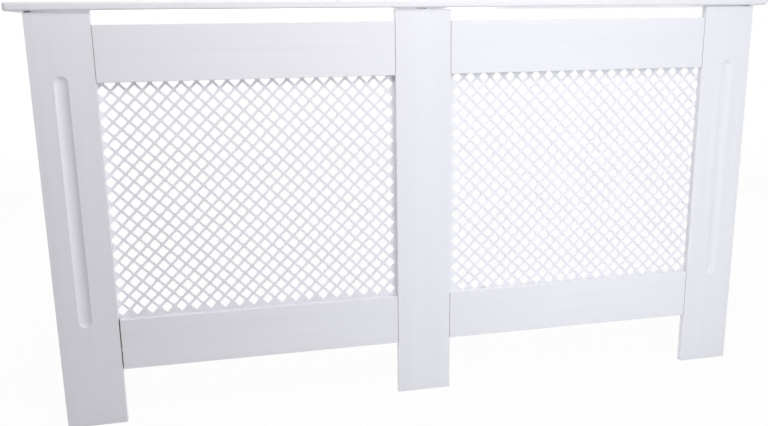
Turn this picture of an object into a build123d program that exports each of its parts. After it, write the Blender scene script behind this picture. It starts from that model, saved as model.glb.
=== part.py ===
"""Radiator cover cabinet, in millimetres.

A flat-pack cabinet that stands on the floor over a wall-hung radiator. Three uprights and four
rails make the front frame, two pierced grilles fill it from behind, and two side panels stand it
off the wall and carry the shelf. Dowels locate the boards, and cam locks draw them together.

Frame: X to the right along the front, Y towards the wall, Z up. The origin is on the floor, in
the middle of the cabinet's width and depth.
"""
from build123d import *
import os

# --- Driving dimensions of the cabinet ---
OVERALL_WIDTH = 1520
OVERALL_HEIGHT = 815
OVERALL_DEPTH = 165
SHELF_THICKNESS = 15
BOARD_THICKNESS = 12
END_OVERHANG = 32           # shelf past the frame at each end
FRONT_OVERHANG = 6          # shelf past the frame at the front
STILE_WIDTH = 113
BOTTOM_RAIL_BASE = 113      # floor to the bottom rails
BOTTOM_RAIL_HEIGHT = 102
TOP_RAIL_HEIGHT = 103
AIR_GAP = 25                # top rails to the shelf
SHADOW_GAP = 2              # stile tops to the shelf
OPEN_JOINT = 1.6            # the one rail joint that isn't drawn up tight

# --- Edges ---
SHELF_EDGE_RADIUS = 4
SHELF_CORNER_RADIUS = 7
BOARD_EDGE_RADIUS = 0.9     # sanded edges of the painted boards
CUT_PAST = 1                # how far a cutter runs on past the face that it leaves by

# --- Flute in each outer stile ---
FLUTE_WIDTH = 25
FLUTE_DEPTH = 4.2
FLUTE_BASE = 205            # floor to the flute's lower end
FLUTE_LENGTH = 481
FLUTE_OUTWARD = 4.5         # the flute's middle from the stile's, towards the cabinet's end

# --- Skirting notch in each side panel ---
NOTCH_DEPTH = 20
NOTCH_HEIGHT = 125

# --- Grilles ---
GRILLE_THICKNESS = 3
GRILLE_WIDTH = 603
GRILLE_HEIGHT = 503
HOLE_PITCH = 20             # from hole to hole, square to the webs
HOLE_SIZE = 15.5
HOLE_COLUMNS = 20
HOLE_ROWS = 16
GRILLE_SEAT_LEFT = (-3, 7)      # how far each grille was fixed off the middle of its opening
GRILLE_SEAT_RIGHT = (6.5, 1)

# --- Cam lock: a zinc cam in one board draws up a bolt that is screwed into the other ---
CAM_RADIUS = 6
CAM_HEIGHT = 9.8
CAM_SETBACK = 24            # joint face to cam axis
CAM_BELOW_FACE = 0.1
CAM_BORE_DEPTH = 10
CAM_EDGE_BREAK = 0.3
RUNNING_CLEARANCE = 0.05
LOCKED_REACH = 4.25         # cam axis to the wall that holds the bolt's head, when locked
FREED_REACH = 5.15          # the same after half a turn
CAVITY_HEIGHT = 5.2
RIB_START = 2.6             # cam axis to the solid rib that joins its two plates
NECK_SLOT_HEIGHT = 3.0
HEAD_ENTRY_RADIUS = 2.6
DRIVER_SLOT_LENGTH = 5.5
DRIVER_SLOT_WIDTH = 1.2
DRIVER_SLOT_DEPTH = 1.5
ARROW_RADIUS = 1.6
ARROW_SETBACK = 4           # cam axis to the arrow that shows where the bolt goes in
ARROW_DEPTH = 0.4

# --- The cam's bolt ---
HEAD_RADIUS = 2.4
HEAD_FLAT = 0.3             # cam axis to the flat on the end of the head
NECK_RADIUS = 1.3
NECK_IN_HEAD = 1            # how far the neck runs on into the head
SHANK_RADIUS = 2
SHANK_START = 7             # cam axis to the thick part of the bolt
COLLAR_RADIUS = 2.8
COLLAR_LENGTH = 1.5
BOLT_THREAD_RADIUS = 2.5
BOLT_THREAD_LENGTH = 8.5
BOLT_BORE_RADIUS = 3

# --- Dowels ---
DOWEL_RADIUS = 3
DOWEL_LENGTH = 24
DOWEL_SHALLOW_HOLE = 9      # in the face or edge of the board that takes the bolt
END_CHAMFER = 0.8           # on the ends of dowels and bolt threads
HOLE_CLEARANCE = 0.05
HOLE_SPARE_DEPTH = 0.5      # drilled deeper than the thing that goes in

# --- Where the joints sit ---
RAIL_CAM_FROM_EDGE = 38     # outer edge of a rail to its cam
RAIL_DOWEL_SPREAD = 20      # cam axis to the dowel on each side of it
SIDE_CAM_HEIGHTS = (190, 600)
SIDE_DOWEL_HEIGHTS = (60, 395, 740)
SHELF_CAM_SETBACKS = (38, 109)    # stile back to each cam under the shelf
SHELF_DOWEL_SETBACK = 73

# --- Screws ---
GRILLE_SCREW_RADIUS = 1.5
GRILLE_SCREW_LENGTH = 11
GRILLE_SCREW_HEAD_RADIUS = 3.2
GRILLE_SCREW_HEAD_HEIGHT = 1.8
GRILLE_SCREW_INSET = 9
GRILLE_SCREW_PASS_RADIUS = 1.8
RAIL_SCREW_OFFSETS = (-255, -85, 85, 255)
STILE_SCREW_OFFSETS = (-80, 80)
BRACKET_SCREW_RADIUS = 1.75
BRACKET_SCREW_LENGTH = 10
BRACKET_SCREW_HEAD_RADIUS = 3.6
BRACKET_SCREW_HEAD_HEIGHT = 2.0
BRACKET_SCREW_PASS_RADIUS = 1.95
SCREW_TIP_RADIUS = 0.3
HEAD_ROUNDING = 0.6         # share of a head's height that its rim's round takes
RECESS_LENGTH = 2.6
RECESS_WIDTH = 0.7
RECESS_DEPTH = 0.9

# --- Steel angles ---
ANGLE_THICKNESS = 2
ANGLE_LEG = 25
ANGLE_CORNER_RADIUS = 3
SCREW_ALONG_LEG = 15        # corner of an angle to its screws and wall holes
CENTRE_ANGLE_WIDTH = 20
WALL_ANGLE_HEIGHT = 40
WALL_ANGLE_BASE = 700
WALL_HOLE_SPACING = 20
WALL_HOLE_RADIUS = 2.5

# --- Worked out from the above ---
FRAME_WIDTH = OVERALL_WIDTH - 2 * END_OVERHANG
FRAME_EDGE = FRAME_WIDTH / 2
FRONT = -OVERALL_DEPTH / 2 + FRONT_OVERHANG
BACK = FRONT + BOARD_THICKNESS
MIDPLANE = (FRONT + BACK) / 2
WALL = OVERALL_DEPTH / 2
SHELF_BASE = OVERALL_HEIGHT - SHELF_THICKNESS
STILE_HEIGHT = SHELF_BASE - SHADOW_GAP
SIDE_INNER_FACE = FRAME_EDGE - BOARD_THICKNESS
SIDE_MIDPLANE = FRAME_EDGE - BOARD_THICKNESS / 2
OPENING_INNER = STILE_WIDTH / 2
OPENING_OUTER = FRAME_EDGE - STILE_WIDTH
OPENING_MIDDLE = (OPENING_INNER + OPENING_OUTER) / 2
OPENING_BASE = BOTTOM_RAIL_BASE + BOTTOM_RAIL_HEIGHT
TOP_RAIL_TOP = SHELF_BASE - AIR_GAP
TOP_RAIL_BASE = TOP_RAIL_TOP - TOP_RAIL_HEIGHT
OPENING_CENTRE_HEIGHT = (OPENING_BASE + TOP_RAIL_BASE) / 2
BOTTOM_CAM_HEIGHT = BOTTOM_RAIL_BASE + RAIL_CAM_FROM_EDGE
TOP_CAM_HEIGHT = TOP_RAIL_TOP - RAIL_CAM_FROM_EDGE
HALF_BOARD = BOARD_THICKNESS / 2
GRILLE_BACK = BACK + GRILLE_THICKNESS
DOWEL_START = CAM_SETBACK + DOWEL_SHALLOW_HOLE
WALL_ANGLE_MIDDLE = WALL_ANGLE_BASE + WALL_ANGLE_HEIGHT / 2
WALL_SCREW_HEIGHTS = [WALL_ANGLE_MIDDLE + step * WALL_HOLE_SPACING / 2 for step in (-1, 1)]

LEFT = -1
RIGHT = 1
SIDES = {"left": LEFT, "right": RIGHT}

os.makedirs("parts", exist_ok=True)
pieces = {}


def block(low, high):
    """A box from its lowest corner to its highest."""
    size = [top - base for base, top in zip(low, high)]
    middle = [(base + top) / 2 for base, top in zip(low, high)]
    return Pos(*middle) * Box(*size)


def rod(start, direction, radius, length):
    """A round bar that runs from a point along a direction."""
    upright = Cylinder(radius, length, align=(Align.CENTER, Align.CENTER, Align.MIN))
    return Plane(origin=start, z_dir=direction) * upright


def group(shapes):
    """Loose solids that share one node."""
    return Compound(children=[solid for shape in shapes for solid in shape.solids()])


# --- Cam locks and dowels, drawn at a joint's own plane ---
# The plane's origin is on the cam's axis, at the middle of the board that holds the cam.
# Its X runs to the joint face and on into the other board, and its Z leaves the cam's face.
TOWARDS_BOLT = (1, 0, 0)
AWAY_FROM_BOLT = (-1, 0, 0)


def cam():
    """The cam, locked: its head wall is nearest on the side where the bolt comes in."""
    top = HALF_BOARD - CAM_BELOW_FACE
    body = Pos(0, 0, top - CAM_HEIGHT / 2) * Cylinder(CAM_RADIUS, CAM_HEIGHT)
    body = chamfer(body.edges().sort_by(Axis.Z)[-1], CAM_EDGE_BREAK)
    # The head wall is a circle set off centre, so that half a turn eases it off the bolt's head.
    wall_radius = (LOCKED_REACH + FREED_REACH) / 2
    outside = 2 * CAM_RADIUS
    cavity = Pos(LOCKED_REACH - wall_radius, 0, 0) * Cylinder(wall_radius, CAVITY_HEIGHT)
    cavity -= block((-outside, RIB_START, -outside), (outside, outside, outside))
    slot = Cylinder(CAM_RADIUS + CUT_PAST, NECK_SLOT_HEIGHT)
    slot -= block((-outside, NECK_SLOT_HEIGHT / 2, -outside), (outside, outside, outside))
    entry = rod((0, 0, 0), AWAY_FROM_BOLT, HEAD_ENTRY_RADIUS, CAM_RADIUS + CUT_PAST)
    cross = Box(DRIVER_SLOT_LENGTH, DRIVER_SLOT_WIDTH, 2 * DRIVER_SLOT_DEPTH)
    cross += Box(DRIVER_SLOT_WIDTH, DRIVER_SLOT_LENGTH, 2 * DRIVER_SLOT_DEPTH)
    arrow = extrude(RegularPolygon(ARROW_RADIUS, 3, rotation=180), ARROW_DEPTH, both=True)
    marks = Pos(0, 0, top) * cross + Pos(-ARROW_SETBACK, 0, top) * arrow
    return body - cavity - slot - entry - marks


def cam_bolt():
    """The bolt that a cam draws up, with its head in the cam's cavity."""
    head = Pos(LOCKED_REACH - RUNNING_CLEARANCE - HEAD_RADIUS, 0, 0) * Sphere(HEAD_RADIUS)
    outside = 2 * HEAD_RADIUS
    head -= block((-outside, -outside, -outside), (HEAD_FLAT, outside, outside))
    neck_start = LOCKED_REACH - NECK_IN_HEAD
    neck = rod((neck_start, 0, 0), TOWARDS_BOLT, NECK_RADIUS, SHANK_START - neck_start)
    shank = rod((SHANK_START, 0, 0), TOWARDS_BOLT, SHANK_RADIUS, CAM_SETBACK - SHANK_START)
    joint_face = (CAM_SETBACK, 0, 0)
    collar = rod(joint_face, AWAY_FROM_BOLT, COLLAR_RADIUS, COLLAR_LENGTH)
    thread = rod(joint_face, TOWARDS_BOLT, BOLT_THREAD_RADIUS, BOLT_THREAD_LENGTH)
    thread = chamfer(thread.edges().sort_by(Axis.X)[-1], END_CHAMFER)
    return head + neck + shank + collar + thread


def cam_bores():
    """What the drill takes out of the board that holds the cam."""
    radius = CAM_RADIUS + RUNNING_CLEARANCE
    pocket = rod((0, 0, HALF_BOARD), (0, 0, -1), radius, CAM_BORE_DEPTH)
    return pocket + rod((0, 0, 0), TOWARDS_BOLT, BOLT_BORE_RADIUS, CAM_SETBACK + CUT_PAST)


def bolt_hole():
    """The hole for the bolt's thread in the other board."""
    radius = BOLT_THREAD_RADIUS + HOLE_CLEARANCE
    return rod((CAM_SETBACK, 0, 0), TOWARDS_BOLT, radius, BOLT_THREAD_LENGTH + HOLE_SPARE_DEPTH)


def dowel():
    """A beech dowel, with one end at the bottom of its shallow hole."""
    bar = rod((DOWEL_START, 0, 0), AWAY_FROM_BOLT, DOWEL_RADIUS, DOWEL_LENGTH)
    return chamfer(bar.edges().filter_by(GeomType.CIRCLE), END_CHAMFER)


def dowel_holes():
    """The dowel's two holes, one in each board, as a single cutter."""
    radius = DOWEL_RADIUS + HOLE_CLEARANCE
    return rod((DOWEL_START, 0, 0), AWAY_FROM_BOLT, radius, DOWEL_LENGTH + HOLE_SPARE_DEPTH)


# --- Where the joints between boards are ---
def rail_joint(side, end, height):
    """The joint at one end of a rail. side is the half of the frame, end its outer or inner."""
    towards_stile = side if end == "outer" else -side
    joint_face = side * (OPENING_OUTER if end == "outer" else OPENING_INNER)
    origin = (joint_face - towards_stile * CAM_SETBACK, MIDPLANE, height)
    return Plane(origin=origin, x_dir=(towards_stile, 0, 0), z_dir=(0, 1, 0))


def side_joint(side, height):
    """A joint that draws a side panel to the back of its stile."""
    origin = (side * SIDE_MIDPLANE, BACK + CAM_SETBACK, height)
    return Plane(origin=origin, x_dir=(0, -1, 0), z_dir=(-side, 0, 0))


def shelf_joint(side, setback):
    """A joint that draws the shelf down on a side panel."""
    origin = (side * SIDE_MIDPLANE, BACK + setback, SHELF_BASE - CAM_SETBACK)
    return Plane(origin=origin, x_dir=(0, 0, 1), z_dir=(-side, 0, 0))


rail_heights = {"top_rail": TOP_CAM_HEIGHT, "bottom_rail": BOTTOM_CAM_HEIGHT}
rail_cams = {
    f"cam_{rail}_{name}_{end}": rail_joint(side, end, height)
    for rail, height in rail_heights.items()
    for name, side in SIDES.items()
    for end in ("outer", "inner")
}
side_cams = {
    f"cam_side_{name}_front_{place}": side_joint(side, height)
    for name, side in SIDES.items()
    for place, height in zip(("low", "high"), SIDE_CAM_HEIGHTS)
}
shelf_cams = {
    f"cam_side_{name}_shelf_{place}": shelf_joint(side, setback)
    for name, side in SIDES.items()
    for place, setback in zip(("fore", "aft"), SHELF_CAM_SETBACKS)
}
cams = {**rail_cams, **side_cams, **shelf_cams}
dowels = {
    "rail_dowels": [
        rail_joint(side, end, height + step * RAIL_DOWEL_SPREAD)
        for height in rail_heights.values()
        for side in SIDES.values()
        for end in ("outer", "inner")
        for step in (-1, 1)
    ],
    "side_dowels": [
        side_joint(side, height) for side in SIDES.values() for height in SIDE_DOWEL_HEIGHTS
    ],
    "shelf_dowels": [shelf_joint(side, SHELF_DOWEL_SETBACK) for side in SIDES.values()],
}

cam_drill = cam_bores()
bolt_drill = bolt_hole()
dowel_drill = dowel_holes()
cam_pockets = [joint * cam_drill for joint in cams.values()]
bolt_holes = [joint * bolt_drill for joint in cams.values()]
dowel_bores = [joint * dowel_drill for joints in dowels.values() for joint in joints]


# --- Screws and where they are seated ---
grille_centres = {
    "left": (-OPENING_MIDDLE + GRILLE_SEAT_LEFT[0], OPENING_CENTRE_HEIGHT + GRILLE_SEAT_LEFT[1]),
    "right": (OPENING_MIDDLE + GRILLE_SEAT_RIGHT[0], OPENING_CENTRE_HEIGHT + GRILLE_SEAT_RIGHT[1]),
}


def grille_screw_points(middle_x, middle_z):
    """Where a grille's screws stand: four along each rail and two down each stile."""
    reach_x = GRILLE_WIDTH / 2 - GRILLE_SCREW_INSET
    reach_z = GRILLE_HEIGHT / 2 - GRILLE_SCREW_INSET
    along_rails = [(x, z) for z in (-reach_z, reach_z) for x in RAIL_SCREW_OFFSETS]
    down_stiles = [(x, z) for x in (-reach_x, reach_x) for z in STILE_SCREW_OFFSETS]
    return [(middle_x + x, middle_z + z) for x, z in along_rails + down_stiles]


def screw(radius, length, head_radius, head_height):
    """A pan-head screw with its head seated at the origin, pointing along -Z."""
    point = 2 * radius
    head = Pos(0, 0, head_height / 2) * Cylinder(head_radius, head_height)
    head = fillet(head.edges().sort_by(Axis.Z)[-1], head_height * HEAD_ROUNDING)
    recess = Box(RECESS_LENGTH, RECESS_WIDTH, 2 * RECESS_DEPTH)
    recess += Box(RECESS_WIDTH, RECESS_LENGTH, 2 * RECESS_DEPTH)
    shank = rod((0, 0, 0), (0, 0, -1), radius, length - point)
    cone = Pos(0, 0, -length + point / 2) * Cone(SCREW_TIP_RADIUS, radius, point)
    return head - Pos(0, 0, head_height) * recess + shank + cone


def pilot(radius, length):
    """The hole that a screw seated at the origin is driven into."""
    return rod((0, 0, 0), (0, 0, -1), radius + HOLE_CLEARANCE, length)


grille_screw = screw(
    GRILLE_SCREW_RADIUS, GRILLE_SCREW_LENGTH, GRILLE_SCREW_HEAD_RADIUS, GRILLE_SCREW_HEAD_HEIGHT
)
bracket_screw = screw(
    BRACKET_SCREW_RADIUS, BRACKET_SCREW_LENGTH, BRACKET_SCREW_HEAD_RADIUS, BRACKET_SCREW_HEAD_HEIGHT
)
grille_screw_seats = {
    name: [Plane(origin=(x, GRILLE_BACK, z), z_dir=(0, 1, 0)) for x, z in grille_screw_points(*centre)]
    for name, centre in grille_centres.items()
}
on_centre_stile = (0, BACK + ANGLE_THICKNESS, SHELF_BASE - SCREW_ALONG_LEG)
under_shelf = (0, BACK + SCREW_ALONG_LEG, SHELF_BASE - ANGLE_THICKNESS)
centre_screw_seats = [
    Plane(origin=on_centre_stile, z_dir=(0, 1, 0)),
    Plane(origin=under_shelf, z_dir=(0, 0, -1)),
]
wall_screw_seats = {
    name: [
        Plane(
            origin=(side * (SIDE_INNER_FACE - ANGLE_THICKNESS), WALL - SCREW_ALONG_LEG, height),
            z_dir=(-side, 0, 0),
        )
        for height in WALL_SCREW_HEIGHTS
    ]
    for name, side in SIDES.items()
}
all_wall_screw_seats = wall_screw_seats["left"] + wall_screw_seats["right"]
grille_pilot = pilot(GRILLE_SCREW_RADIUS, GRILLE_SCREW_LENGTH)
bracket_pilot = pilot(BRACKET_SCREW_RADIUS, BRACKET_SCREW_LENGTH)
pilot_holes = [seat * grille_pilot for seats in grille_screw_seats.values() for seat in seats]
pilot_holes += [seat * bracket_pilot for seat in centre_screw_seats + all_wall_screw_seats]


# --- Boards ---
def boxes_meet(first, second):
    """Whether the bounding boxes of two shapes overlap."""
    a = first.bounding_box()
    b = second.bounding_box()
    apart_x = a.max.X < b.min.X or b.max.X < a.min.X
    apart_y = a.max.Y < b.min.Y or b.max.Y < a.min.Y
    apart_z = a.max.Z < b.min.Z or b.max.Z < a.min.Z
    return not (apart_x or apart_y or apart_z)


def drilled(board, drills):
    """A board less every drill that reaches it."""
    reaching = [drill for drill in drills if boxes_meet(board, drill)]
    return board - reaching


def eased(board):
    """A board with the edges round its front face sanded round."""
    front_face = board.faces().sort_by(Axis.Y)[0]
    return fillet(front_face.edges(), BOARD_EDGE_RADIUS)


def shelf():
    """The top board, rounded on every edge but the back one."""
    board = block((-OVERALL_WIDTH / 2, -WALL, SHELF_BASE), (OVERALL_WIDTH / 2, WALL, OVERALL_HEIGHT))
    front_corners = board.edges().filter_by(Axis.Z).group_by(Axis.Y)[0]
    board = fillet(front_corners, SHELF_CORNER_RADIUS)
    levels = board.faces().sort_by(Axis.Z)
    rims = [face.edges().sort_by(Axis.Y)[:-1] for face in (levels[0], levels[-1])]
    board = fillet(rims[0] + rims[1], SHELF_EDGE_RADIUS)
    return drilled(board, bolt_holes + dowel_bores + pilot_holes)


def stile(middle, flute_middle=None):
    """An upright of the front frame, plain or with a stopped flute down its face."""
    half = STILE_WIDTH / 2
    board = eased(block((middle - half, FRONT, 0), (middle + half, BACK, STILE_HEIGHT)))
    if flute_middle is not None:
        # The cutter is a round bar with ball ends, sunk into the face by the flute's depth.
        cutter_radius = FLUTE_WIDTH ** 2 / (8 * FLUTE_DEPTH) + FLUTE_DEPTH / 2
        cutter_y = FRONT + FLUTE_DEPTH - cutter_radius
        low = FLUTE_BASE + FLUTE_WIDTH / 2
        high = FLUTE_BASE + FLUTE_LENGTH - FLUTE_WIDTH / 2
        cutter = rod((flute_middle, cutter_y, low), (0, 0, 1), cutter_radius, high - low)
        cutter += [Pos(flute_middle, cutter_y, end) * Sphere(cutter_radius) for end in (low, high)]
        board -= cutter
    return drilled(board, bolt_holes + dowel_bores + pilot_holes)


def rail(side, base, height, open_joint=0):
    """A cross board between two stiles, cut short at its outer end where its joint is open."""
    inner = side * OPENING_INNER
    outer = side * (OPENING_OUTER - open_joint)
    low = (min(inner, outer), FRONT, base)
    high = (max(inner, outer), BACK, base + height)
    return drilled(eased(block(low, high)), cam_pockets + dowel_bores + pilot_holes)


def side_panel(side):
    """A side of the cabinet, notched at the lower back to clear the skirting board."""
    low_x = min(side * FRAME_EDGE, side * SIDE_INNER_FACE)
    high_x = max(side * FRAME_EDGE, side * SIDE_INNER_FACE)
    board = block((low_x, BACK, 0), (high_x, WALL, SHELF_BASE))
    board -= block(
        (low_x - CUT_PAST, WALL - NOTCH_DEPTH, -CUT_PAST),
        (high_x + CUT_PAST, WALL + CUT_PAST, NOTCH_HEIGHT),
    )
    return drilled(board, cam_pockets + dowel_bores + pilot_holes)


outer_stile_middle = FRAME_EDGE - STILE_WIDTH / 2
pieces["top_shelf"] = shelf()
pieces["stile_left"] = stile(-outer_stile_middle, -outer_stile_middle - FLUTE_OUTWARD)
pieces["stile_centre"] = stile(0)
pieces["stile_right"] = stile(outer_stile_middle, outer_stile_middle + FLUTE_OUTWARD)
pieces["top_rail_left"] = rail(LEFT, TOP_RAIL_BASE, TOP_RAIL_HEIGHT)
pieces["top_rail_right"] = rail(RIGHT, TOP_RAIL_BASE, TOP_RAIL_HEIGHT)
pieces["bottom_rail_left"] = rail(LEFT, BOTTOM_RAIL_BASE, BOTTOM_RAIL_HEIGHT, OPEN_JOINT)
pieces["bottom_rail_right"] = rail(RIGHT, BOTTOM_RAIL_BASE, BOTTOM_RAIL_HEIGHT)
for name, side in SIDES.items():
    pieces[f"side_panel_{name}"] = side_panel(side)


# --- Grilles ---
def grille():
    """A thin board pierced by two interleaved grids of square holes that stand on a corner."""
    step = HOLE_PITCH * 2 ** 0.5
    outline = (Rot(0, 0, 45) * Rectangle(HOLE_SIZE, HOLE_SIZE)).faces()[0].outer_wire()
    lowest_row = -(2 * HOLE_ROWS - 1) / 4
    long_rows = [
        (step * (column - (HOLE_COLUMNS - 1) / 2), step * (row + lowest_row))
        for row in range(HOLE_ROWS)
        for column in range(HOLE_COLUMNS)
    ]
    short_rows = [
        (step * (column - (HOLE_COLUMNS - 2) / 2), step * (row + 0.5 + lowest_row))
        for row in range(HOLE_ROWS)
        for column in range(HOLE_COLUMNS - 1)
    ]
    holes = [Pos(x, y) * outline for x, y in long_rows + short_rows]
    screw_pass = Circle(GRILLE_SCREW_PASS_RADIUS).faces()[0].outer_wire()
    holes += [Pos(x, y) * screw_pass for x, y in grille_screw_points(0, 0)]
    border = Rectangle(GRILLE_WIDTH, GRILLE_HEIGHT).faces()[0].outer_wire()
    return extrude(Face(border, holes), GRILLE_THICKNESS)


# Face down on the frame, the sheet's own +Z leaves the back. The right one is turned end for end.
sheet = grille()
turns = {"left": (-1, 0, 0), "right": (1, 0, 0)}
for name, (middle_x, middle_z) in grille_centres.items():
    seat = Plane(origin=(middle_x, BACK, middle_z), x_dir=turns[name], z_dir=(0, 1, 0))
    pieces[f"grille_{name}"] = seat * sheet
    pieces[f"grille_screws_{name}"] = group([spot * grille_screw for spot in grille_screw_seats[name]])


# --- Cams, bolts and dowels ---
cam_solid = cam()
bolt_solid = cam_bolt()
dowel_solid = dowel()
bolts = {"rail_cam_bolts": rail_cams, "side_cam_bolts": side_cams, "shelf_cam_bolts": shelf_cams}
for name, joint in cams.items():
    pieces[name] = joint * cam_solid
for name, joints in bolts.items():
    pieces[name] = group([joint * bolt_solid for joint in joints.values()])
for name, joints in dowels.items():
    pieces[name] = group([joint * dowel_solid for joint in joints])


# --- Steel angles ---
def leg_hole(seat, radius):
    """A drill that goes right through an angle's leg at a screw's seat."""
    return seat * Cylinder(radius, 2 * (ANGLE_THICKNESS + CUT_PAST))


def centre_bracket():
    """A steel angle in the corner between the centre stile and the shelf."""
    half = CENTRE_ANGLE_WIDTH / 2
    low = SHELF_BASE - ANGLE_LEG
    on_stile = block((-half, BACK, low), (half, BACK + ANGLE_THICKNESS, SHELF_BASE))
    on_shelf = block((-half, BACK, SHELF_BASE - ANGLE_THICKNESS), (half, BACK + ANGLE_LEG, SHELF_BASE))
    angle = on_stile + on_shelf
    angle = fillet(angle.edges().filter_by(Axis.Y).group_by(Axis.Z)[0], ANGLE_CORNER_RADIUS)
    angle = fillet(angle.edges().filter_by(Axis.Z).group_by(Axis.Y)[-1], ANGLE_CORNER_RADIUS)
    return angle - [leg_hole(seat, BRACKET_SCREW_PASS_RADIUS) for seat in centre_screw_seats]


def wall_bracket(name, side):
    """A steel angle on a side panel's inner face, with its other leg flat on the wall."""
    corner = side * SIDE_INNER_FACE
    skin = side * (SIDE_INNER_FACE - ANGLE_THICKNESS)
    toe = side * (SIDE_INNER_FACE - ANGLE_LEG)
    top = WALL_ANGLE_BASE + WALL_ANGLE_HEIGHT
    on_panel = block(
        (min(corner, skin), WALL - ANGLE_LEG, WALL_ANGLE_BASE),
        (max(corner, skin), WALL, top),
    )
    on_wall = block(
        (min(corner, toe), WALL - ANGLE_THICKNESS, WALL_ANGLE_BASE),
        (max(corner, toe), WALL, top),
    )
    angle = on_panel + on_wall
    angle = fillet(angle.edges().filter_by(Axis.X).group_by(Axis.Y)[0], ANGLE_CORNER_RADIUS)
    toe_end = 0 if side == RIGHT else -1
    angle = fillet(angle.edges().filter_by(Axis.Y).group_by(Axis.X)[toe_end], ANGLE_CORNER_RADIUS)
    wall_hole_x = side * (SIDE_INNER_FACE - SCREW_ALONG_LEG)
    wall_holes = [
        Plane(origin=(wall_hole_x, WALL - ANGLE_THICKNESS, height), z_dir=(0, -1, 0))
        for height in WALL_SCREW_HEIGHTS
    ]
    angle -= [leg_hole(seat, BRACKET_SCREW_PASS_RADIUS) for seat in wall_screw_seats[name]]
    return angle - [leg_hole(seat, WALL_HOLE_RADIUS) for seat in wall_holes]


pieces["centre_bracket"] = centre_bracket()
pieces["centre_bracket_screws"] = group([seat * bracket_screw for seat in centre_screw_seats])
for name, side in SIDES.items():
    pieces[f"wall_bracket_{name}"] = wall_bracket(name, side)
pieces["wall_bracket_screws"] = group([seat * bracket_screw for seat in all_wall_screw_seats])

for name, piece in pieces.items():
    export_step(piece, f"parts/{name}.step")
print(len(pieces), "nodes written")
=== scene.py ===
# %% [markdown]
# # A radiator cover cabinet, dressed
#
# The cabinet comes in as a fixed frame: forty-one pieces at their real size and place. This lesson
# gives every one of them its finish, makes the two pierced grilles again with softened holes, and
# sets up a plain studio round them. All lengths are in metres, in the cabinet's own frame: X to
# the right along the front, Y towards the wall, Z up.

import math

import bmesh
import bpy
from mathutils import Matrix, Vector


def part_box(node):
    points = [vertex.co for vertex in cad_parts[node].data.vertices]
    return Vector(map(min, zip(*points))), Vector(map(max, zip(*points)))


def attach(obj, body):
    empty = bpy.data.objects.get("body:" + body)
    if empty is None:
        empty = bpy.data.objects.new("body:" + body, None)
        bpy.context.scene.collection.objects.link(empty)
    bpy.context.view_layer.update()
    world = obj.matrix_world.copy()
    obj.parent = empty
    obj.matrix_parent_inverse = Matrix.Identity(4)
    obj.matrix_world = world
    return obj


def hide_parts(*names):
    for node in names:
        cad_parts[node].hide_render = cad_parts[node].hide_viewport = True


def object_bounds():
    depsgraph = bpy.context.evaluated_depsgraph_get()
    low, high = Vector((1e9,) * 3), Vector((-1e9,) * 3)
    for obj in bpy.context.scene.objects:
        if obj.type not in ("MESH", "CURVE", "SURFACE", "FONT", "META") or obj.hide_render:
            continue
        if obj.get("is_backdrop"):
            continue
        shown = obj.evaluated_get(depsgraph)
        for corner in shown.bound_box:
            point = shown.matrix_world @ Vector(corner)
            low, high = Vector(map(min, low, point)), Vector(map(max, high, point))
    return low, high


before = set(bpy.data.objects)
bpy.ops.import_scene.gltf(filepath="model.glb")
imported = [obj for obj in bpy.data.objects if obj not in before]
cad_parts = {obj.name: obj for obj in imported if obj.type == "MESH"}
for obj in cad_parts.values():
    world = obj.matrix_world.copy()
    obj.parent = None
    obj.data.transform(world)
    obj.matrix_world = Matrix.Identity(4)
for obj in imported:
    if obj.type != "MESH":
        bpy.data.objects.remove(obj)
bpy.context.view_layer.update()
MM = 0.001

# %% [markdown]
# ## Shader maths that reads like maths
#
# A finish is a small web of nodes. Drawn in the editor it is easy to follow, but in code it soon
# turns into pages of links. So one class wraps a socket and lets Python's own operators add the
# Math nodes: `1 - wear * 0.4` makes two nodes and links them. Colours and places have three
# numbers, and a Math node would turn them into one, so they go through Mix and Vector Math.

# %% A socket that takes part in maths
class Signal:
    """One value inside a web of nodes."""

    def __init__(self, web, socket):
        self.web = web
        self.socket = socket

    def maths(self, operation, *values):
        return self.web.node("ShaderNodeMath", {"operation": operation}, dict(enumerate(values)))

    def __add__(self, other):
        return self.maths("ADD", self, other)

    def __sub__(self, other):
        return self.maths("SUBTRACT", self, other)

    def __rsub__(self, other):
        return self.maths("SUBTRACT", other, self)

    def __mul__(self, other):
        return self.maths("MULTIPLY", self, other)

    __radd__ = __add__
    __rmul__ = __mul__

    def least(self, other):
        return self.maths("MINIMUM", self, other)

    def most(self, other):
        return self.maths("MAXIMUM", self, other)

    def step(self, low, high):
        """0 up to low, 1 from high on, and a smooth rise between them."""
        return self.web.node(
            "ShaderNodeMapRange",
            {"interpolation_type": "SMOOTHSTEP"},
            {"Value": self, "From Min": low, "From Max": high},
        )

    def span(self, start, end, edge):
        """1 from start to end and 0 outside them, with edges of the given width."""
        return self.step(start, start + edge) - self.step(end - edge, end)


print("operators", [name for name in vars(Signal) if name.startswith("__") and name != "__init__"])

# %% [markdown]
# ## One method for every other node
#
# `Web.node` takes a node's type, then its settings, then what goes into its sockets. Settings come
# first, because a node such as Mix only shows the right sockets once it knows its data type. A
# signal is linked, and a plain number or colour is typed into the socket. Materials and the world
# are both webs.

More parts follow.
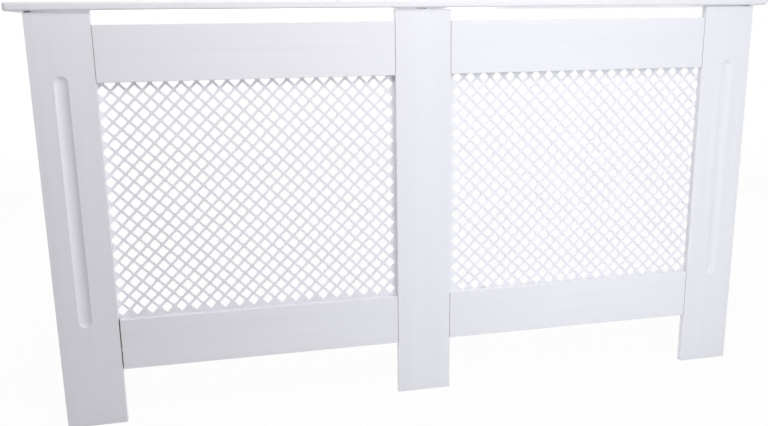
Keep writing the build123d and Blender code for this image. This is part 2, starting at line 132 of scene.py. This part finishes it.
# %% A web of nodes
class Web:
    """A tree of nodes under construction."""

    def __init__(self, tree):
        self.tree = tree

    def feed(self, made, sockets):
        """Fills a node's sockets: signals are linked, and numbers are typed in."""
        for name, value in sockets.items():
            if isinstance(value, Signal):
                self.tree.links.new(value.socket, made.inputs[name])
            else:
                made.inputs[name].default_value = value

    def node(self, kind, settings, sockets, out=0):
        """Makes a node, sets it up, fills its sockets and gives back one of its outputs."""
        made = self.tree.nodes.new(kind)
        for name, value in settings.items():
            setattr(made, name, value)
        self.feed(made, sockets)
        return Signal(self, made.outputs[out])

    def seen_directly(self):
        """1 for rays from the camera, from a gloss or through glass, and 0 for the rest."""
        rays = [
            self.node("ShaderNodeLightPath", {}, {}, out=kind)
            for kind in ("Is Camera Ray", "Is Glossy Ray", "Is Transmission Ray")
        ]
        return (rays[0] + rays[1] + rays[2]).least(1)


print("a web can", [name for name in vars(Web) if not name.startswith("__")])

# %% [markdown]
# ## A material is a web with a surface
#
# A `Finish` is a material's web, with the few texture nodes that this cabinet needs ready to use.
# Every pattern is read from Object coordinates, so it lies in the piece and moves with it. A noise
# is given by the size of its grains in metres, because that is what can be judged on a real board.

# %% A material's web
class Finish(Web):
    """A material, and the nodes that its surface is worked out with."""

    def __init__(self, name):
        self.material = bpy.data.materials.new(name)
        self.material.use_nodes = True
        super().__init__(self.material.node_tree)
        self.shader = self.tree.nodes["Principled BSDF"]
        self.place = self.node("ShaderNodeTexCoord", {}, {}, out="Object")

    def surface(self, values):
        self.feed(self.shader, values)
        return self.material

    def apart(self, vector):
        """The three numbers of a place or a direction."""
        first = self.node("ShaderNodeSeparateXYZ", {}, {0: vector})
        return [Signal(self, output) for output in first.socket.node.outputs]

    def stretched(self, scale, centre):
        """Object coordinates about a centre, scaled along each axis."""
        shift = {"operation": "SUBTRACT"}
        centred = self.node("ShaderNodeVectorMath", shift, {0: self.place, 1: centre})
        return self.node("ShaderNodeVectorMath", {"operation": "MULTIPLY"}, {0: centred, 1: scale})

    def noise(self, where, detail, size=1.0, roughness=0.5):
        """Soft clouds whose largest grains are about as wide as size."""
        return self.node(
            "ShaderNodeTexNoise",
            {},
            {"Vector": where, "Scale": 1 / size, "Detail": detail, "Roughness": roughness},
        )

    def tint(self, share, first, second):
        """A colour between two others."""
        settings = {"data_type": "RGBA", "clamp_factor": True}
        return self.node("ShaderNodeMix", settings, {0: share, 6: first, 7: second}, out=2)

    def bump(self, height, depth, over=None):
        """A normal that rises by depth where height goes from 0 to 1."""
        sockets = {"Height": height, "Distance": depth, "Strength": 1.0}
        if over is not None:
            sockets["Normal"] = over
        return self.node("ShaderNodeBump", {}, sockets)


print("a finish can also", [name for name in vars(Finish) if not name.startswith("__")])

# %% [markdown]
# ## Painted fibreboard
#
# Every board is fibreboard under satin white paint. Three things tell the eye that it is paint and
# not plastic. A roller leaves a faint fine pile of bumps. Drawing the last coat out leaves long
# shallow streaks in the board's own direction. And on the sanded edges the film is thinner, so
# they are a touch duller. The streaks are noise squeezed across the board and stretched along it.
# Broader bands of the same noise keep the white from being the same all over.

# %% The paint's colours, sheen and marks
WHITE = (0.835, 0.832, 0.872, 1)
WHITE_SHADE = (0.812, 0.807, 0.848, 1)
SHADE_RANGE = (0.34, 0.66)
PAINT_GLOSS = {"IOR": 1.46, "Specular IOR Level": 0.45}
BRUSHED_ROUGHNESS = 0.36
STREAKS_DULLER = 0.16

STREAK_LENGTH = 320 * MM
STREAK_WIDTH = 9 * MM
STREAK_DEPTH = 0.06 * MM
STREAK_SHARE, BAND_SHARE = 0.55, 0.45
BAND_STRETCH = 0.22
PILE_SIZE = 1.6 * MM
PILE_DEPTH = 0.018 * MM
ALONG_X = (1 / STREAK_LENGTH, 1 / STREAK_WIDTH, 1 / STREAK_WIDTH)
ALONG_Z = (1 / STREAK_WIDTH, 1 / STREAK_WIDTH, 1 / STREAK_LENGTH)
print("a streak is", round(STREAK_LENGTH / STREAK_WIDTH), "times as long as it is wide")

# %% [markdown]
# The edges could be found by baking a map, but each board is near enough a box whose corners the
# frame knows. So the distance to the nearest edge is worked out: of the three distances from a
# point to the sides of its box, the middle one is the distance along the face to the nearest edge.
# The wear comes in patches, because hands and sandpaper never meet an edge evenly.

# %% Worn edges
WORN_WHITE = (0.735, 0.722, 0.735, 1)
WORN_TINT = 0.7
WORN_DULLER = 0.2
WEAR_REACH = (0.2 * MM, 1.6 * MM)
WEAR_PATCH_SIZE = 7 * MM
WEAR_PATCHES = (0.42, 0.66)


def worn_edges(finish, place, low, high):
    """1 where the paint has gone thin on a board's edges, and 0 elsewhere."""
    x, y, z = ((here - base).least(top - here) for here, base, top in zip(place, low, high))
    from_edge = x.least(y).most(x.most(y).least(z))
    patches = finish.noise(finish.place, detail=3.0, size=WEAR_PATCH_SIZE)
    return (1 - from_edge.step(*WEAR_REACH)) * patches.step(*WEAR_PATCHES)


print("wear ends", round(WEAR_REACH[1] / MM, 1), "mm from an edge")

# %% [markdown]
# Where a rail butts against a stile, both faces are coloured a dark grey-brown. This is painted
# shade, standing for the shadow in the narrow gap of each joint, and a hairline of it shows all
# along each joint. The rails are darkened at their ends. The stiles are darkened on their sides,
# over the height of each rail.

# %% Painted shade on the joint faces
JOINT_SHADE_DARK = (0.15, 0.13, 0.13, 1)
JOINT_SHADE_LIGHT = (0.22, 0.19, 0.185, 1)
JOINT_FACE_ROUGHNESS = 0.9
JOINT_SHADE_MOTTLE_SIZE = 0.6 * MM
JOINT_SKIN = (0.15 * MM, 0.75 * MM)
JOINT_BRIM = 0.5 * MM


def joint_faces(place, node, low, high):
    """The painted shade's mask: 1 on the faces where rails and stiles butt, and 0 elsewhere."""
    x, _, z = place
    outer_stiles = {"stile_left": high.x - x, "stile_right": x - low.x}
    from_joint = outer_stiles.get(node, (x - low.x).least(high.x - x))
    ends = 1 - from_joint.step(*JOINT_SKIN)
    if "rail" in node:
        return ends
    bottom, top = (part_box(rail) for rail in ("bottom_rail_left", "top_rail_left"))
    beside_rail = z.span(bottom[0].z, bottom[1].z, JOINT_BRIM) + z.span(top[0].z, top[1].z, JOINT_BRIM)
    return ends * beside_rail


# How far the joints' painted shade reaches from a joint.
print("bare board shows up to", round(JOINT_SKIN[1] / MM, 2), "mm from a joint")

# %% [markdown]
# The shelf's underside is sprayed and not brushed, so it is smoother than the rest. The picture
# sees it at under two degrees, where a smooth coat mirrors what is behind it, and that is why no
# band of shade shows over the open slots. Above the uprights, and at its ends, it is brushed.
#
# The shelf's top is wiped, and things are slid over it, so its sheen has gone duller than the
# front's. A duller face also spreads a lamp's glare, which would wash it out from behind.

# %% The shelf's two faces
SPRAYED_ROUGHNESS = 0.14
DULLED_BY_USE = 0.3
SPRAY_BRIM = 1 * MM
UNDERSIDE_SKIN = (0.1 * MM, 1.5 * MM)
TOP_SKIN = (-1 * MM, -0.3 * MM)


def sprayed_underside(place, low):
    """1 on the shelf's underside, apart from its ends and the places over the uprights."""
    x, y, z = place
    slots = [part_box(rail) for rail in ("top_rail_left", "top_rail_right")]
    left_slot, right_slot = (x.span(start.x, end.x, SPRAY_BRIM) for start, end in slots)
    left_side, right_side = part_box("side_panel_left")[1].x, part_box("side_panel_right")[0].x
    behind_front = x.span(left_side, right_side, SPRAY_BRIM) * y.step(0, SPRAY_BRIM)
    sprayed = (left_slot + right_slot).most(behind_front)
    return sprayed * (1 - z.step(*(low.z + height for height in UNDERSIDE_SKIN)))


def shelf_roughness(brushed, place, low, high):
    """The brushed sheen, made smooth on the underside and duller on the top."""
    sheen = brushed + sprayed_underside(place, low) * (SPRAYED_ROUGHNESS - brushed)
    top = place[2].step(*(high.z + height for height in TOP_SKIN))
    return sheen + top * DULLED_BY_USE


print("the shelf's roughness is", SPRAYED_ROUGHNESS, "below and", BRUSHED_ROUGHNESS, "or more elsewhere")

# %% [markdown]
# Now the finish of one board can be put together. Each board starts its streaks at another place in
# the noise, or the ten boards would all have the same marks.

# %% The painted boards
PATTERN_SHIFT = (1.7, 0.9, 2.3)
BOARDS = {
    "top_shelf": ALONG_X,
    "top_rail_left": ALONG_X,
    "top_rail_right": ALONG_X,
    "bottom_rail_left": ALONG_X,
    "bottom_rail_right": ALONG_X,
    "stile_left": ALONG_Z,
    "stile_centre": ALONG_Z,
    "stile_right": ALONG_Z,
    "side_panel_left": ALONG_Z,
    "side_panel_right": ALONG_Z,
}


def painted_board(node, grain, number):
    """Satin white paint, drawn out along the board, worn at the edges, with painted shade at the joints.
    """
    finish = Finish(f"paint_{node}")
    low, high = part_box(node)
    place = finish.apart(finish.place)
    shift = [number * step for step in PATTERN_SHIFT]
    streaks = finish.noise(finish.stretched(grain, shift), detail=4.0, roughness=0.62)
    broad_grain = [stretch * BAND_STRETCH for stretch in grain]
    bands = finish.noise(finish.stretched(broad_grain, shift), detail=2.0)
    pile = finish.noise(finish.place, detail=2.0, size=PILE_SIZE, roughness=0.6)
    worn = worn_edges(finish, place, low, high)
    shade = (streaks * STREAK_SHARE + bands * BAND_SHARE).step(*SHADE_RANGE)
    colour = finish.tint(shade, WHITE_SHADE, WHITE)
    colour = finish.tint(worn * WORN_TINT, colour, WORN_WHITE)
    roughness = BRUSHED_ROUGHNESS + streaks * STREAKS_DULLER + worn * WORN_DULLER
    # Painted shade: the faces where rails and stiles butt are darkened for the shadow in each joint's
    # gap.
    if "rail" in node or "stile" in node:
        joint_shade = joint_faces(place, node, low, high)
        joint_shade_mottle = finish.noise(finish.place, detail=3.0, size=JOINT_SHADE_MOTTLE_SIZE)
        colour = finish.tint(joint_shade, colour, finish.tint(joint_shade_mottle, JOINT_SHADE_DARK, JOINT_SHADE_LIGHT))
        roughness = roughness.most(joint_shade * JOINT_FACE_ROUGHNESS)
    if node == "top_shelf":
        roughness = shelf_roughness(roughness, place, low, high)
    relief = finish.bump(pile, PILE_DEPTH, over=finish.bump(streaks, STREAK_DEPTH))
    return finish.surface(
        {"Base Color": colour, "Roughness": roughness, "Normal": relief, **PAINT_GLOSS}
    )


def dress(node, material):
    """Gives a node of the frame its finish."""
    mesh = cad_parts[node].data
    mesh.materials.clear()
    mesh.materials.append(material)


for number, (node, grain) in enumerate(BOARDS.items()):
    dress(node, painted_board(node, grain, number))
print("painted", len(BOARDS), "boards")

# %% [markdown]
# ## Beech, plated steel and raw zinc
#
# The dowels are beech, which is fine and even with short darker flecks. They are small and lie
# inside the boards, so plain noise stands for the grain. Screws, bolts and angles are bright zinc
# plate, which is a metal with a faint cloudiness. The cams are die-cast zinc: duller, and slightly
# grainy from the mould.

# %% Beech
BEECH_DARK = (0.50, 0.32, 0.18, 1)
BEECH_LIGHT = (0.68, 0.48, 0.30, 1)
BEECH_FLECK = (0.33, 0.19, 0.10, 1)
BEECH_GRAIN_SIZE = 1.1 * MM
BEECH_GRAIN_DEPTH = 0.05 * MM
FLECK_SIZE = 0.5 * MM
FLECK_RANGE = (0.62, 0.72)
FLECK_TINT = 0.5
BEECH_ROUGHNESS = 0.55
BEECH_GRAIN_DULLER = 0.2


def beech():
    """Bare beech, dull and even, with short dark flecks."""
    finish = Finish("beech")
    grain = finish.noise(finish.place, detail=3.0, size=BEECH_GRAIN_SIZE)
    flecks = finish.noise(finish.place, detail=1.0, size=FLECK_SIZE).step(*FLECK_RANGE)
    colour = finish.tint(grain, BEECH_DARK, BEECH_LIGHT)
    colour = finish.tint(flecks * FLECK_TINT, colour, BEECH_FLECK)
    roughness = BEECH_ROUGHNESS + grain * BEECH_GRAIN_DULLER
    relief = finish.bump(grain, BEECH_GRAIN_DEPTH)
    return finish.surface({"Base Color": colour, "Roughness": roughness, "Normal": relief})


beech_finish = beech()
print("made", beech_finish.name)

# %% The two metals
METAL_GRAIN_SIZE = 0.25 * MM
CLOUDS_DULLER = 0.18


def metal(name, dark, bright, cloud_size, grain_depth, roughness):
    """A metal with a cloudy shine and a fine grain."""
    finish = Finish(name)
    clouds = finish.noise(finish.place, detail=3.0, size=cloud_size)
    grain = finish.noise(finish.place, detail=2.0, size=METAL_GRAIN_SIZE)
    return finish.surface(
        {
            "Base Color": finish.tint(clouds, dark, bright),
            "Metallic": 1.0,
            "Roughness": roughness + clouds * CLOUDS_DULLER,
            "Normal": finish.bump(grain, grain_depth),
        }
    )


plate_finish = metal(
    "plated_steel",
    dark=(0.60, 0.60, 0.60, 1),
    bright=(0.78, 0.78, 0.76, 1),
    cloud_size=4 * MM,
    grain_depth=0.004 * MM,
    roughness=0.24,
)
zinc_finish = metal(
    "cast_zinc",
    dark=(0.44, 0.45, 0.46, 1),
    bright=(0.60, 0.61, 0.62, 1),
    cloud_size=2.5 * MM,
    grain_depth=0.02 * MM,
    roughness=0.40,
)
print("made", plate_finish.name, "and", zinc_finish.name)

# %% Dress the small parts
def named(*words):
    """The frame's nodes whose names hold one of the words."""
    return [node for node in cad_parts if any(word in node for word in words)]


CAMS = [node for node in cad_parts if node.startswith("cam_")]
for finish, nodes in (
    (beech_finish, named("dowels")),
    (plate_finish, named("screws", "bolts", "bracket")),
    (zinc_finish, CAMS),
):
    for node in nodes:
        dress(node, finish)
    print(finish.name, "on", len(nodes), "nodes")

# %% [markdown]
# ## The grilles
#
# Each grille is one thin board pierced by square holes that stand on a corner. The frame's own
# sheets have knife-sharp holes. Real ones are punched and then painted, so corners and edges are
# soft, and that soft edge is what catches the light. A boolean for each hole would be slow, and
# would leave a messy mesh. So one cell is modelled with care, a diamond with a square hole in it
# whose corners are cut, and the lattice is that cell repeated and merged, with a border round it.

# %% Sizes of the lattice
HOLE_PITCH = 20 * MM
HOLE_SIZE = 15.5 * MM
HOLE_COLUMNS = 20
HOLE_ROWS = 16
STEP = HOLE_PITCH * math.sqrt(2)  # from one hole to the next along a row
CELL_RADIUS = STEP / 2
TOUCHING = 0.01 * MM  # points nearer than this are one point


def lattice_centres():
    """Hole centres about the middle of the sheet: long rows, with short rows between them."""
    lowest = -(2 * HOLE_ROWS - 1) / 4
    for row in range(HOLE_ROWS):
        for column in range(HOLE_COLUMNS):
            yield Vector((STEP * (column - (HOLE_COLUMNS - 1) / 2), STEP * (row + lowest), 0))
        for column in range(HOLE_COLUMNS - 1):
            yield Vector((STEP * (column - (HOLE_COLUMNS - 2) / 2), STEP * (row + 0.5 + lowest), 0))


centres = list(lattice_centres())
print("holes in a grille", len(centres))

# %% [markdown]
# Three steps come back again and again from here on, so each gets a name. An edge is softened by
# one narrow flat, as a rub with sandpaper leaves it. A finished bmesh becomes a mesh. And a new
# object goes into the scene at the origin.

# %% Helpers for new pieces
def soften(bm, geom, offset, affect):
    """Cuts the given edges or corners with one narrow flat."""
    bmesh.ops.bevel(bm, geom=geom, offset=offset, segments=1, profile=0.5, affect=affect, material=-1)


def finished_mesh(bm, name):
    """The mesh that a bmesh has become."""
    mesh = bpy.data.meshes.new(name)
    bm.to_mesh(mesh)
    bm.free()
    print(name, len(mesh.vertices), "vertices", len(mesh.polygons), "faces")
    return mesh


def add_to_scene(name, data):
    """A new object at the origin."""
    made = bpy.data.objects.new(name, data)
    bpy.context.scene.collection.objects.link(made)
    return made


# %% [markdown]
# A cell is two loops: a circle of four sides, which is a diamond, and inside it the hole, a smaller
# one whose corners are cut. A bridge between the loops is the web. Solidify gives it the board's
# thickness. The outer walls that it adds would lie inside the finished sheet, so they go. Last,
# the hole's rims are softened on both faces.

# %% One cell of the lattice
HOLE_CORNER = 1.6 * MM
HOLE_EASE = 0.45 * MM
SHARP = math.radians(80)  # an edge that turns more than this is a rim


def flat_cell(bm):
    """A diamond with a square hole whose corners are cut."""
    hole_radius = HOLE_SIZE * math.sqrt(0.5)
    bmesh.ops.create_circle(bm, cap_ends=True, segments=4, radius=hole_radius)
    soften(bm, bm.verts[:], HOLE_CORNER, "VERTICES")
    bmesh.ops.delete(bm, geom=bm.faces[:], context="FACES_ONLY")
    bmesh.ops.create_circle(bm, segments=4, radius=CELL_RADIUS)
    bmesh.ops.bridge_loops(bm, edges=bm.edges[:])


def on_outline(vertex):
    """Whether a vertex lies on the diamond round the cell."""
    return abs(abs(vertex.co.x) + abs(vertex.co.y) - CELL_RADIUS) < TOUCHING


def cell_mesh(thickness):
    """One cell with its hole's walls and softened rims, open at its outline."""
    bm = bmesh.new()
    flat_cell(bm)
    bmesh.ops.solidify(bm, geom=bm.faces[:], thickness=thickness)
    top = max(vertex.co.z for vertex in bm.verts)
    bmesh.ops.translate(bm, verts=bm.verts[:], vec=(0, 0, thickness / 2 - top))
    walls = [face for face in bm.faces if all(on_outline(vertex) for vertex in face.verts)]
    bmesh.ops.delete(bm, geom=walls, context="FACES")
    inner = [edge for edge in bm.edges if len(edge.link_faces) == 2]
    rims = [edge for edge in inner if edge.calc_face_angle() > SHARP]
    soften(bm, rims, HOLE_EASE, "EDGES")
    return finished_mesh(bm, "lattice_cell")


grille_low, grille_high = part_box("grille_left")
SHEET_WIDTH, SHEET_THICKNESS, SHEET_HEIGHT = grille_high - grille_low
cell = cell_mesh(SHEET_THICKNESS)

# %% [markdown]
# The border carries twelve screws: four along its top, four along its bottom and two down each
# side. Their holes are rings of edges, and so is the sheet's rim, as a ring of four sides that is
# turned by an eighth and pulled out to the sheet's width and height.

# %% Rings for the border
SCREW_INSET = 9 * MM
SCREW_PASS_RADIUS = 1.8 * MM
SCREW_HOLE_SIDES = 10
SCREWS_ALONG = [x * MM for x in (-255, -85, 85, 255)]
SCREWS_DOWN = [z * MM for z in (-80, 80)]
EIGHTH_TURN = math.radians(45)


def screw_places():
    """The middles of the twelve screw holes, from the middle of the sheet."""
    reach_x = SHEET_WIDTH / 2 - SCREW_INSET
    reach_z = SHEET_HEIGHT / 2 - SCREW_INSET
    places = [(x, z) for z in (-reach_z, reach_z) for x in SCREWS_ALONG]
    return places + [(x, z) for x in (-reach_x, reach_x) for z in SCREWS_DOWN]


def add_ring(bm, sides, radius, place, stretch=(1, 1, 1), turn=0.0):
    """A closed ring of edges round a place."""
    matrix = Matrix.Translation(place) @ Matrix.Diagonal((*stretch, 1)) @ Matrix.Rotation(turn, 4, "Z")
    made = bmesh.ops.create_circle(bm, segments=sides, radius=radius, matrix=matrix)
    return list({edge for vertex in made["verts"] for edge in vertex.link_edges})


def sheet_rim(bm, level):
    """The sheet's four outer edges at one of its faces."""
    size = (SHEET_WIDTH * math.sqrt(0.5), SHEET_HEIGHT * math.sqrt(0.5), 1)
    return add_ring(bm, 4, 1, (0, 0, level), size, EIGHTH_TURN)


print("screws in a grille", len(screw_places()))

# %% [markdown]
# The cells meet edge to edge, and merging them leaves one sheet with a toothed outline. That
# outline is the border's inner edge, and the rim its outer one. On each face of the board the
# border is filled in one go between these rings and the screw holes, and bridges from face to face
# make the walls of the rim and of the holes. The rim is softened last.

# %% The whole sheet
RIM_EASE = 0.5 * MM


def lattice(bm):
    """Every cell in its place, merged into one sheet, and the sheet's toothed outline."""
    for centre in centres:
        before = len(bm.verts)
        bm.from_mesh(cell)
        bm.verts.ensure_lookup_table()
        bmesh.ops.translate(bm, verts=bm.verts[before:], vec=centre)
    bmesh.ops.remove_doubles(bm, verts=bm.verts[:], dist=TOUCHING)
    return [edge for edge in bm.edges if edge.is_boundary]


def sheet_mesh(name):
    """The whole grille, flat on XY, with its middle at the origin."""
    bm = bmesh.new()
    outline = lattice(bm)
    rings = []
    for level in (-SHEET_THICKNESS / 2, SHEET_THICKNESS / 2):
        rim = sheet_rim(bm, level)
        holes = [
            add_ring(bm, SCREW_HOLE_SIDES, SCREW_PASS_RADIUS, (x, z, level)) for x, z in screw_places()
        ]
        teeth = [edge for edge in outline if abs(edge.verts[0].co.z - level) < TOUCHING]
        around = teeth + rim + [edge for hole in holes for edge in hole]
        bmesh.ops.triangle_fill(bm, use_beauty=True, edges=around, normal=(0, 0, 1))
        rings.append([rim, *holes])
    for below, above in zip(*rings):
        bmesh.ops.bridge_loops(bm, edges=below + above)
    soften(bm, rings[0][0] + rings[1][0], RIM_EASE, "EDGES")
    bmesh.ops.recalc_face_normals(bm, faces=bm.faces[:])
    print("open edges", sum(not edge.is_manifold for edge in bm.edges))
    return finished_mesh(bm, name)


flat_sheet = sheet_mesh("pierced_sheet")

# %% [markdown]
# The two sheets are the same piece. The left one stands as it was made. The right one was fixed
# turned end for end, so its rows are the other way up, which the photograph's holes show. They were
# sprayed, so they have no streaks: only a fine orange peel, and clouds too faint to see as such.

# %% Paint the sheet and stand it up behind the front
PEEL_SIZE = 2.4 * MM
PEEL_DEPTH = 0.02 * MM
PEEL_DULLER = 0.14
SHEET_ROUGHNESS = 0.38
MOTTLE_SIZE = 60 * MM
MOTTLE_RANGE = (0.35, 0.65)
STANDS = {"left": math.radians(90), "right": math.radians(-90)}


def sprayed_sheet():
    """White paint with a fine orange peel."""
    finish = Finish("paint_grille")
    peel = finish.noise(finish.place, detail=1.5, size=PEEL_SIZE)
    mottle = finish.noise(finish.place, detail=3.0, size=MOTTLE_SIZE)
    colour = finish.tint(mottle.step(*MOTTLE_RANGE), WHITE_SHADE, WHITE)
    relief = finish.bump(peel, PEEL_DEPTH)
    roughness = SHEET_ROUGHNESS + peel * PEEL_DULLER
    return finish.surface(
        {"Base Color": colour, "Roughness": roughness, "Normal": relief, **PAINT_GLOSS}
    )


flat_sheet.materials.append(sprayed_sheet())
for side, turn in STANDS.items():
    mesh = flat_sheet.copy()
    low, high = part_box(f"grille_{side}")
    mesh.transform(Matrix.Translation((low + high) / 2) @ Matrix.Rotation(turn, 4, "X"))
    sheet = add_to_scene(f"pierced_sheet_{side}", mesh)
    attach(sheet, "cabinet")
    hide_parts(f"grille_{side}")
    print(sheet.name, "stands at", [round(v, 4) for v in (low + high) / 2])

# %% [markdown]
# ## Floor and background
#
# The cabinet was photographed on plain white. A white floor could be had with a great deal of
# light, but that would bleach the paint. Instead the camera sees the floor mostly as its own light,
# so it reads as white and still keeps a trace of the cabinet's shadow. All other light meets a
# plain pale floor, which throws some of it softly back up. Further out the camera sees only the
# floor's own light, so no line shows where it ends.

# %% The floor
FLOOR_RADIUS = 9.0
FLOOR_SIDES = 64
FLOOR_PALE = {"Base Color": (0.74, 0.74, 0.75, 1), "Roughness": 0.9, "Specular IOR Level": 0.2}
FLOOR_FADE = (1.4, 4.5)
FLOOR_GLOW = 0.95
PLAIN_WHITE = {"Color": (1, 1, 1, 1), "Strength": 1.0}


def floor_finish():
    """Pale to bounced light, and nearly plain white where it is seen directly."""
    finish = Finish("pale_floor")
    finish.surface(FLOOR_PALE)
    length = {"operation": "LENGTH"}
    from_middle = finish.node("ShaderNodeVectorMath", length, {0: finish.place}, out="Value")
    far = from_middle.step(*FLOOR_FADE)
    share = finish.seen_directly() * (FLOOR_GLOW + far * (1 - FLOOR_GLOW))
    lit = Signal(finish, finish.shader.outputs[0])
    glow = finish.node("ShaderNodeEmission", {}, PLAIN_WHITE)
    mixed = finish.node("ShaderNodeMixShader", {}, {0: share, 1: lit, 2: glow})
    finish.feed(finish.tree.nodes["Material Output"], {"Surface": mixed})
    return finish.material


bm = bmesh.new()
bmesh.ops.create_circle(bm, cap_ends=True, segments=FLOOR_SIDES, radius=FLOOR_RADIUS)
floor = add_to_scene("floor", finished_mesh(bm, "floor"))
floor.data.materials.append(floor_finish())
floor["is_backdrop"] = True
print("the floor fades out from", FLOOR_FADE[0], "to", FLOOR_FADE[1], "m")

# %% [markdown]
# ## Light
#
# In the photograph the right half is even and bright, the left half falls off towards its foot,
# and each upright throws a thin soft shadow to its left. The left flute has a shaded right wall,
# but the right flute hardly shows, so light reaches that one evenly from both sides. That takes
# five square panels in front: a small near key on the right, a softer one high on the left, which
# is why the left end is brighter at its top, one overhead for the tops of the boards, one near the
# floor, and one at the right end, standing for a wall of a white studio. The world fills in evenly.
# Each was rendered alone, and its share was worked out from how bright the boards and the flutes'
# walls are in the picture.
#
# Three more panels stand behind the front, one at each side and one at the back, so that these can
# be looked at too. None of them shines on the front's face: what they add there comes off the floor
# and through the holes.

# %% The world
WORLD_LIGHT = {"Color": (1, 1, 1, 1), "Strength": 0.05}


def set_world():
    """Light for the scene, and plain white where the world is seen directly."""
    world = bpy.data.worlds.new("studio")
    world.use_nodes = True
    bpy.context.scene.world = world
    web = Web(world.node_tree)
    background = web.tree.nodes["Background"]
    web.feed(background, WORLD_LIGHT)
    lit = Signal(web, background.outputs[0])
    backdrop = web.node("ShaderNodeBackground", {}, PLAIN_WHITE)
    mixed = web.node("ShaderNodeMixShader", {}, {0: web.seen_directly(), 1: lit, 2: backdrop})
    web.feed(web.tree.nodes["World Output"], {"Surface": mixed})
    print("world", world.name, "with a strength of", WORLD_LIGHT["Strength"])


set_world()

# %% The panels
FRONT_MIDDLE = (0.1, 0.0, 0.4)
UNDER_TOP_PANEL = (0.2, -0.1, 0.5)
RIGHT_HALF = (0.4, -0.09, 0.5)
LEFT_SIDE = (-0.73, 0.0, 0.45)
RIGHT_SIDE = (0.73, 0.0, 0.45)
WHITE_LIGHT = (1.0, 1.0, 1.0)
KEY_TINT = (0.915, 0.97, 1.0)
HIGH_LEFT_TINT = (1.0, 0.958, 0.98)
LOW_TINT = (0.94, 0.99, 1.0)
RIGHT_END_TINT = (0.98, 0.993, 1.0)


def add_panel(name, place, aim, size, power, colour=WHITE_LIGHT):
    """A square soft light that faces a point."""
    lamp = bpy.data.lights.new(name, "AREA")
    lamp.shape = "SQUARE"
    lamp.size = size
    lamp.energy = power
    lamp.color = colour
    panel = add_to_scene(name, lamp)
    panel.location = place
    panel.rotation_euler = (Vector(aim) - Vector(place)).to_track_quat("-Z", "Y").to_euler()
    print(name, size, "m", power, "W")


add_panel("key_panel", (0.7, -1.45, 1.15), FRONT_MIDDLE, size=0.5, power=6.9, colour=KEY_TINT)
add_panel("high_left_panel", (-0.4, -1.1, 1.9), FRONT_MIDDLE, size=0.8, power=17.0, colour=HIGH_LEFT_TINT)
add_panel("top_panel", (0.3, -0.5, 2.3), UNDER_TOP_PANEL, size=1.6, power=7.6)
add_panel("low_panel", (0.5, -1.0, 0.15), FRONT_MIDDLE, size=0.6, power=2.9, colour=LOW_TINT)
add_panel("right_end_panel", (2.4, -0.6, 0.9), RIGHT_HALF, size=1.6, power=8.7, colour=RIGHT_END_TINT)
add_panel("left_side_panel", (-2.2, 0.9, 0.8), LEFT_SIDE, size=1.4, power=18.0)
add_panel("right_side_panel", (2.2, 0.9, 0.8), RIGHT_SIDE, size=1.4, power=14.0)
add_panel("back_panel", (0.0, 2.2, 1.6), FRONT_MIDDLE, size=2.4, power=38.0)

# %% [markdown]
# ## Camera
#
# The camera stands just lower than the shelf, left of the cabinet's middle, and looks right and
# down. So the left end is larger, the uprights lean in towards their feet, and the shelf is seen
# from barely below. The camera's place, turn and lens were found by matching about sixty points on
# the boards' edges, whose real places are known, with where they are in the picture.

# %% The camera
CAMERA_PLACE = (-0.4164, -1.6131, 0.7577)
CAMERA_YAW = math.radians(-12.21)
CAMERA_PITCH_DOWN = math.radians(12.94)
CAMERA_ROLL = math.radians(-0.82)
LOOKING_LEVEL = math.radians(90)
PICTURE_WIDTH = 768
FOCAL_PIXELS = 793.8
SENSOR_WIDTH = 36

lens = bpy.data.cameras.new("camera")
lens.sensor_width = SENSOR_WIDTH
lens.lens = FOCAL_PIXELS / PICTURE_WIDTH * SENSOR_WIDTH
camera = add_to_scene("camera", lens)
camera.matrix_world = (
    Matrix.Translation(CAMERA_PLACE)
    @ Matrix.Rotation(CAMERA_YAW, 4, "Z")
    @ Matrix.Rotation(LOOKING_LEVEL - CAMERA_PITCH_DOWN, 4, "X")
    @ Matrix.Rotation(CAMERA_ROLL, 4, "Z")
)
bpy.context.scene.camera = camera
bpy.context.scene.view_settings.view_transform = "Standard"
print("lens", round(lens.lens, 2), "mm")

# %% [markdown]
# ## Sizes, and the last line
#
# The dressed cabinet must be as large as the frame. Its bounds are worked out here.

# %% Compare the sizes and finish
low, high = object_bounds()
